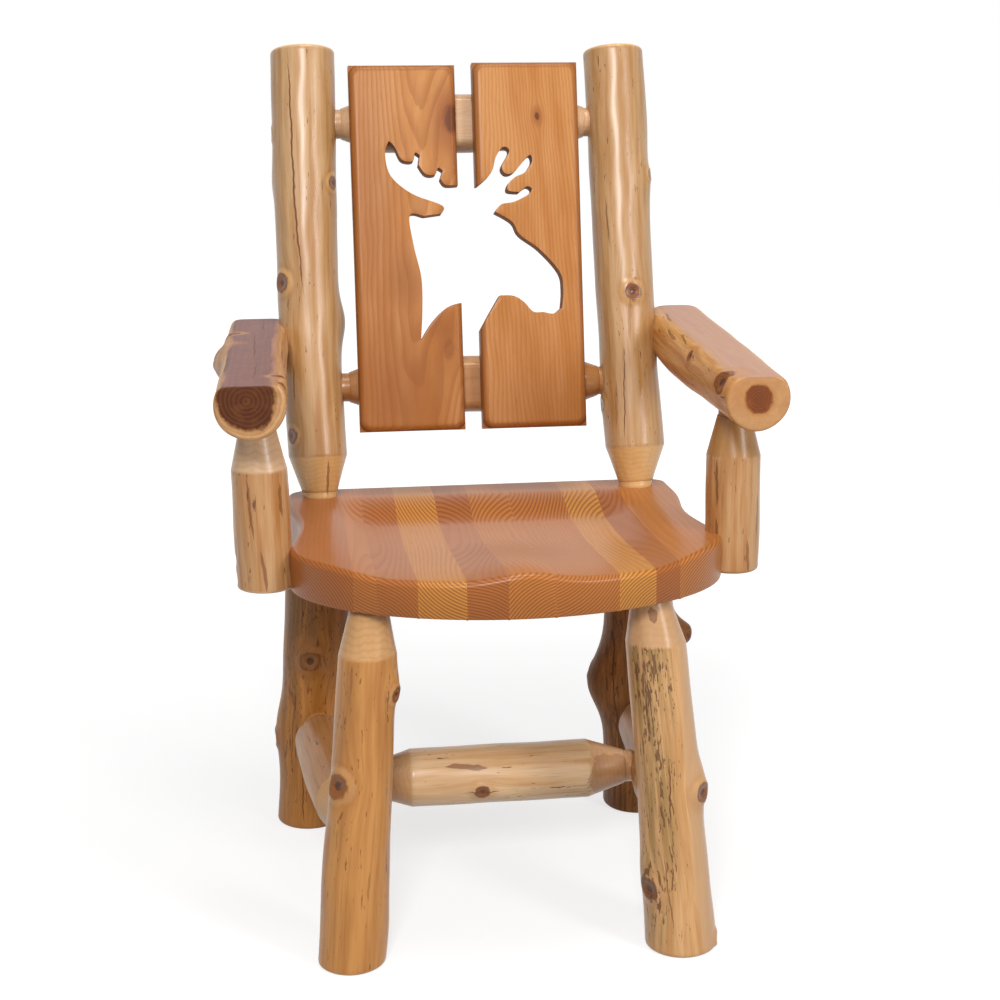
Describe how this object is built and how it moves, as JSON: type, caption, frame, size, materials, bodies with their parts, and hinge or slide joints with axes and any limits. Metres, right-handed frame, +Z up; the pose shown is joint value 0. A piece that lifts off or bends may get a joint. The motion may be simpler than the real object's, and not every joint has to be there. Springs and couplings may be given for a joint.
{
  "type": "log armchair",
  "caption": "Rustic armchair of peeled logs with a scooped solid wood seat, log arms with flat tops, and a back of flat slats with a moose head sawn out.",
  "frame": {"origin": "on the floor, under the middle of the chair's box", "axes": "+Z up, the chair's front at -Y, and the right arm of someone facing the chair at +X"},
  "size_m": [0.6328, 0.5619, 1.0114],
  "materials": {
    "log_wood": "clear gloss lacquer over peeled pale log",
    "arm_wood": "clear gloss lacquer over sawn brown heartwood",
    "slat_wood": "clear gloss lacquer over planed board",
    "seat_wood": "clear gloss lacquer over glued staves",
    "screw_steel": "zinc plated"
  },
  "bodies": {
    "root": {"seat_stave_1": "seat_wood", "seat_stave_2": "seat_wood", "seat_stave_3": "seat_wood", "seat_stave_4": "seat_wood", "seat_stave_5": "seat_wood", "seat_stave_6": "seat_wood", "seat_stave_7": "seat_wood", "seat_stave_8": "seat_wood", "seat_stave_9": "seat_wood", "seat_stave_10": "seat_wood", "leg_front_left": "log_wood", "leg_front_right": "log_wood", "leg_rear_left": "log_wood", "leg_rear_right": "log_wood", "side_stretcher_left": "log_wood", "side_stretcher_right": "log_wood", "cross_stretcher": "log_wood", "back_post_left": "log_wood", "back_post_right": "log_wood", "back_rail_upper": "log_wood", "back_rail_lower": "log_wood", "back_slat_left": "slat_wood", "back_slat_right": "slat_wood", "armrest_left": "arm_wood", "armrest_right": "arm_wood", "arm_post_left": "log_wood", "arm_post_right": "log_wood", "slat_screws": "screw_steel", "armrest_screws": "screw_steel", "arm_post_screws": "screw_steel"}
  },
  "joints": []
}
